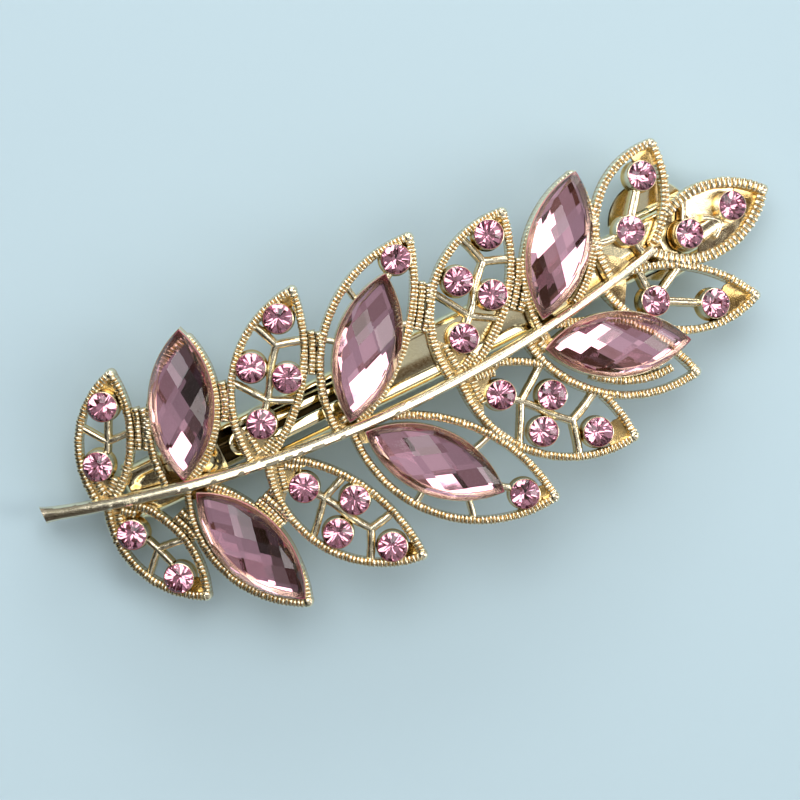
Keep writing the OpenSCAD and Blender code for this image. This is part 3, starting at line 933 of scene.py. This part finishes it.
def base_plate():
    shape = Shape()
    ys = [2.25 - 4.5 * i / 24 for i in range(25)]
    under = [(-2.35, None), (-2.3, -1.85), (-2.1, -1.66), (-1.0, -1.6), (1.0, -1.6), (2.1, -1.66),
             (2.3, -1.85), (2.35, None)]
    for low, high in ((-PLATE_L / 2, WINDOW[0]), (WINDOW[1], PLATE_L / 2)):
        rings, tones = [], []
        for x in np.linspace(low, high, int((high - low) / 0.35)):
            top = [(y, plate_top(x, y)) for y in ys]
            foot = flange_edge(x)
            inner = [(y, foot if z is None else max(foot, z)) for y, z in under]
            section = plate_edge(x, 1)[1:] + top + plate_edge(x, -1)[::-1][:-1] + inner
            rings.append([(x, y, bow_height(x, z)) for y, z in section])
            # Painted light on the folded edges and the top, painted shade beside the panel, and black painted
            # shade on the plate's underside.
            tones += [1.0] * 7 + [plate_tone(x, y) for y in ys] + [1.0] * 7 + [0.0] * 8
        shape.loft(rings, tones)
    for side in (1, -1):
        rings = []
        for x in np.linspace(WINDOW[0] - 0.1, WINDOW[1] + 0.1, 44):
            section = plate_edge(x, side) + [(side * y, z) for y, z in (
                (2.33, -1.04), (2.26, -1.1), (2.25, -1.5), (2.3, -1.85))]
            rings.append([(x, y, bow_height(x, z)) for y, z in section])
        # Painted shade on the window's inner walls, black at their foot.
        shape.loft(rings, ([0.3] + [1.0] * 8 + [0.6, 0.0, 0.0]) * len(rings))
        root = bow_height(PLATE_L / 2 - 2, FLANGE_LOW) + 0.5
        ear = rounded(arc(HINGE, 1.5, 150, 375) + [(-28.5, root), (-35, root + 0.3)], 0.2)
        low_y, high_y = sorted((side * 2.3, side * 2.9))
        prism(shape, ear, low_y, high_y, "y")
        for x in (-20.9, 20.9):
            z = STRIP_LOW + STRIP_R - math.sqrt(STRIP_R ** 2 - 20.1 ** 2) - 0.02
            corners = [(side * 2.4, z), (side * 1.4, z), (side * 1.4, z - 0.4), (side * 2.4, z - 0.4)]
            tab = rounded(corners, 0.15)
            prism(shape, tab, x - 0.8, x + 0.8, "x", 0.1)
    piece("pressed_base_plate", shape.mesh("pressed_base_plate"), PRESSED, "root",
          ["base_plate"])


def tension_strip():
    """A leaf spring with round ends, a slot between two rolled bands, and a polished, crowned top."""
    shape = Shape()
    half_w = STRIP_W / 2

    def width(x):
        past = abs(x) - (STRIP_HALF - half_w)
        return half_w if past <= 0 else math.sqrt(max(half_w ** 2 - past ** 2, 0.01))

    def band(stations, inner):
        for side in ((1, -1) if inner else (1,)):
            rings = []
            for x in stations:
                w = width(x)
                low = inner if inner else -w
                edges = [low + (w - low) * t for t in (0, 0.04, 0.12, 0.3, 0.5, 0.7, 0.88, 0.96, 1)]
                base = STRIP_LOW + STRIP_R
                top = base - math.sqrt((STRIP_R - STRIP_T) ** 2 - x * x)
                bottom = base - math.sqrt(STRIP_R ** 2 - x * x)
                ring = []
                for i, y in enumerate(edges):
                    t = 2 * i / 8 - 1
                    roll = STRIP_ROLL * side * ((low + w) / 2 - y) if inner else 0
                    ring.append((x, side * y, top + roll - 0.12 * abs(t) ** 3 - 0.06 * (y / half_w) ** 2))
                ring.append((x, side * w, bottom + 0.08))
                ring.append((x, side * (w - 0.08), bottom))
                ring.append((x, side * (low + 0.08), bottom))
                ring.append((x, side * low, bottom + 0.08))
                rings.append(ring if side > 0 else ring[::-1])
            # Painted light on the strip's top, black painted shade on its sides and underside.
            shape.loft(rings, ([1.0] * 9 + [0.0] * 4)[::side] * len(rings))

    end = STRIP_HALF - 0.01
    band([-end, -end + 0.08, -end + 0.25, -end + 0.5, SLOT[0] + 0.02], 0)
    band(np.linspace(SLOT[0], SLOT[1], 50), SLOT_HALF_W)
    band(list(np.linspace(SLOT[1] - 0.02, end - 1.6, 80)) + [end - 1.2, end - 0.8, end - 0.5, end - 0.25,
                                                            end - 0.08, end], 0)
    piece("sprung_tension_strip", shape.mesh("sprung_tension_strip"), POLISHED, "root",
          ["tension_strip"])


def locking_arm():
    """Sheet-metal arm: flat underside with a pressed groove, turned-up lips, and a rolled barrel."""
    shape = Shape()
    rings, tones = [], []
    for x in list(np.linspace(-31.2, 31.5, 90)) + [32, 32.5, 33, 33.4, 33.7, 33.9, ARM_TIP]:
        narrow = ARM_HALF_W - 0.9 * smooth_step(32, ARM_TIP + 0.2, x) ** 2
        lip = 0.62 + 0.68 * smooth_step(-31.2, -29.6, x) * (1 - smooth_step(30.5, 32.2, x))
        groove = 0.14 * smooth_step(-28, -27, x) * (1 - smooth_step(26, 27, x))
        outer = [(0, groove), (0.5, groove), (0.75, 0.02), (0.95, 0), (1.9, 0), (2.08, 0.05), (2.17, 0.16),
                 (2.2, 0.35), (2.2, lip - 0.06), (2.13, lip), (1.8, lip), (1.72, lip - 0.06), (1.7, 0.75),
                 (1.6, 0.62), (0.95, 0.6), (0.75, 0.6), (0.5, 0.6 + groove), (0, 0.6 + groove)]
        section = outer[1:-1] + [(-y, z) for y, z in outer[::-1][1:-1]]
        scale = narrow / ARM_HALF_W
        rings.append([(x, y * scale, z) for y, z in section])
        # Painted shade: the arm's inside, between its lips, is painted near black; the rest is lit.
        tones += [0.0 if abs(y) < 1.75 and z > 0.5 else 1.0 for y, z in section]
    shape.loft(rings, tones)
    curl = (arc(HINGE, 1.15, 270, -20, 28) + arc(HINGE, 0.57, -20, 262, 24)
            + [(-33.6, 1.5), (-33.0, 0.75), (-32.2, 0.6), (-30.6, 0.6), (-30.6, 0), (-32.8, 0), (-33.6, 0.25),
               (-34.0, 0.75)])
    prism(shape, curl, -ARM_HALF_W, ARM_HALF_W, "y", 0.06)
    piece("pressed_locking_arm", shape.mesh("pressed_locking_arm"), PRESSED, "arm",
          ["locking_arm"])


def rod(shape, start, end, centre, radius, axis):
    """A pin with broken edges, along X or Y."""
    prism(shape, arc(centre, radius, 0, 360 - 360 / 24, 23), start, end, axis, 0.1)


def hinge_pin():
    shape = Shape()
    half = PLATE_W / 2
    rod(shape, -half - 0.05, half + 0.05, HINGE, 0.48, "y")
    for side in (1, -1):
        low, high = sorted((side * half, side * (half + 0.3)))
        rod(shape, low, high, HINGE, 0.62, "y")
    piece("riveted_hinge_pin", shape.mesh("riveted_hinge_pin"), POLISHED, "root", ["hinge_pin"])


def latch_saddle():
    shape = Shape()
    u_shape = [(-2.25, 3.8), (-2.25, SADDLE_TOP), (2.25, SADDLE_TOP), (2.25, 3.8), (1.8, 3.8),
               (1.8, SADDLE_TOP - 0.45), (-1.8, SADDLE_TOP - 0.45), (-1.8, 3.8)]
    prism(shape, rounded(u_shape, 0.2), *SADDLE_X, "x")
    for side in (1, -1):
        rod(shape, *SADDLE_X, (side * LATCH_PIN[0], LATCH_PIN[1]), 0.3, "x")
        for x in (SADDLE_X[0], SADDLE_X[1] - 1.2):
            y0, y1 = 2.15, LATCH_PIN[0] + 0.3
            post = rounded([(side * y0, 4.1), (side * y1, 4.1), (side * y1, 4.7), (side * y0, 4.7)], 0.2)
            prism(shape, post, x + 0.01, x + 1.19, "x")
    piece("pressed_latch_saddle", shape.mesh("pressed_latch_saddle"), PRESSED, "root",
          ["latch_saddle"])


def press_ear(name, side, middle):
    """Barrel, side plate and hook folded from one strip, with a flat lobe to press."""
    shape = Shape()
    fold = ([(2.3, 0.3), (2.3, 0.8), (2.86, 0.82), (2.86, 3.8)] + arc(LATCH_PIN, 0.6, 235, -60, 20)
            + [(3.35, 3.6), (3.35, 0.6), (3.1, 0.3)])
    prism(shape, [(side * y, z) for y, z in rounded(fold, 0.12, 3)], *LATCH_X, "x")
    near = LATCH_PIN[0] + 0.35
    reach = math.degrees(math.asin((near - middle) / LOBE_R))
    lobe = arc((LOBE_X, middle), LOBE_R, reach, 180 - reach, 36)
    prism(shape, [(x, side * y) for x, y in rounded(lobe, 0.3, 2)], 3.8, 4.3, "z", 0.14)
    piece("pressed_" + name, shape.mesh("pressed_" + name), PRESSED, name.replace("press_", ""),
          [name])


# ---- camera, floor and light ----

def camera_axes():
    """Right, up and towards the camera, from the clip's turn in the view and the camera's lean."""
    roll, lean_x, lean_y = math.radians(25.7), math.radians(6.5), math.radians(2.5)
    ex = Vector((math.cos(roll), -math.sin(roll), 0))
    ey = Vector((math.sin(roll), math.cos(roll), 0))
    back = (Vector((0, 0, 1)) - ex * math.tan(lean_x) + ey * math.tan(lean_y)).normalized()
    right = (-back).cross(ey).normalized()
    return right, right.cross(-back), back


def camera():
    right, up, back = camera_axes()
    target = Vector((-5, -3, bow_height(5, 0)))
    m = Matrix((right, up, back)).transposed().to_4x4()
    m.translation = (target + back * 430) * MM
    data = bpy.data.cameras.new("camera")
    data.sensor_width = 36
    data.lens = 181
    data.clip_start = 0.01
    o = bpy.data.objects.new("camera", data)
    o.matrix_world = m
    bpy.context.scene.collection.objects.link(o)
    bpy.context.scene.camera = o


def floor():
    bpy.ops.mesh.primitive_plane_add(size=3)
    o = bpy.context.object
    o.name = "floor"
    material = bpy.data.materials.new("floor_paper")
    _, shader = nodes_of(material)
    shader.inputs["Base Color"].default_value = (0.53, 0.695, 0.775, 1)
    shader.inputs["Roughness"].default_value = 0.75
    o.data.materials.append(material)


def area_light(name, way, distance, size, power, colour=(1, 1, 1), mirrored=True):
    """A soft box at a distance from the clip, facing it; way is in the camera's axes."""
    right, up, back = camera_axes()
    direction = (right * way[0] + up * way[1] + back * way[2]).normalized()
    data = bpy.data.lights.new(name, "AREA")
    data.shape = "RECTANGLE"
    data.size, data.size_y = size
    data.energy = power
    data.color = colour
    o = bpy.data.objects.new(name, data)
    o.matrix_world = (Matrix.Translation(direction * distance)
                      @ direction.to_track_quat("Z", "Y").to_matrix().to_4x4())
    o.visible_glossy = mirrored
    o.visible_transmission = mirrored
    bpy.context.scene.collection.objects.link(o)


def light():
    area_light("key", (-0.1, 0.55, 1.5), 0.75, (0.5, 0.42), 2.1)
    area_light("fill", (0, 0.3, 1), 1.2, (2, 2), 6.6, mirrored=False)
    area_light("side", (1.2, -0.1, 0.8), 0.8, (0.25, 0.6), 1.9, (1, 0.97, 0.93))
    area_light("back", (0.2, 1.3, 0.6), 0.8, (0.7, 0.25), 1.9)
    world = bpy.data.worlds.new("studio")
    bpy.context.scene.world = world
    world.use_nodes = True
    tree = world.node_tree
    new, link = tree.nodes.new, tree.links.new
    way = new("ShaderNodeTexCoord")
    panels = new("ShaderNodeTexNoise")
    panels.inputs["Scale"].default_value = 2.3
    panels.inputs["Detail"].default_value = 1.5
    link(way.outputs["Generated"], panels.inputs["Vector"])
    ramp = new("ShaderNodeValToRGB")
    stops = ramp.color_ramp.elements
    stops[0].position, stops[0].color = 0.42, (0.045, 0.026, 0.012, 1)
    stops[1].position, stops[1].color = 0.66, (1.0, 1.0, 1.0, 1)
    between = ((0.47, (0.22, 0.15, 0.10)), (0.49, (0.42, 0.38, 0.35)), (0.56, (0.54, 0.55, 0.57)))
    for position, colour in between:
        stops.new(position).color = (*colour, 1)
    link(panels.outputs["Fac"], ramp.inputs["Fac"])
    right, up, _ = camera_axes()
    toward = new("ShaderNodeVectorMath")
    toward.operation = "DOT_PRODUCT"
    toward.inputs[1].default_value = (right * 0.9 + up * 0.4).normalized()
    link(way.outputs["Generated"], toward.inputs[0])
    gain = new("ShaderNodeMapRange")
    gain.inputs["From Min"].default_value = -0.7
    gain.inputs["To Min"].default_value = 0.08
    gain.inputs["To Max"].default_value = 1.7
    link(toward.outputs["Value"], gain.inputs["Value"])
    lit = new("ShaderNodeVectorMath")
    lit.operation = "SCALE"
    link(ramp.outputs["Color"], lit.inputs["Vector"])
    link(gain.outputs["Result"], lit.inputs["Scale"])
    link(lit.outputs["Vector"], tree.nodes["Background"].inputs["Color"])
    tree.nodes["Background"].inputs["Strength"].default_value = 0.75


bpy.context.scene.view_settings.view_transform = "Standard"
camera()
floor()
light()
for k in range(len(LEAVES)):
    leaf(k)
stem()
stones()
base_plate()
tension_strip()
locking_arm()
hinge_pin()
latch_saddle()
press_ear("press_ear_left", 1, 1.7)
press_ear("press_ear_right", -1, 0)
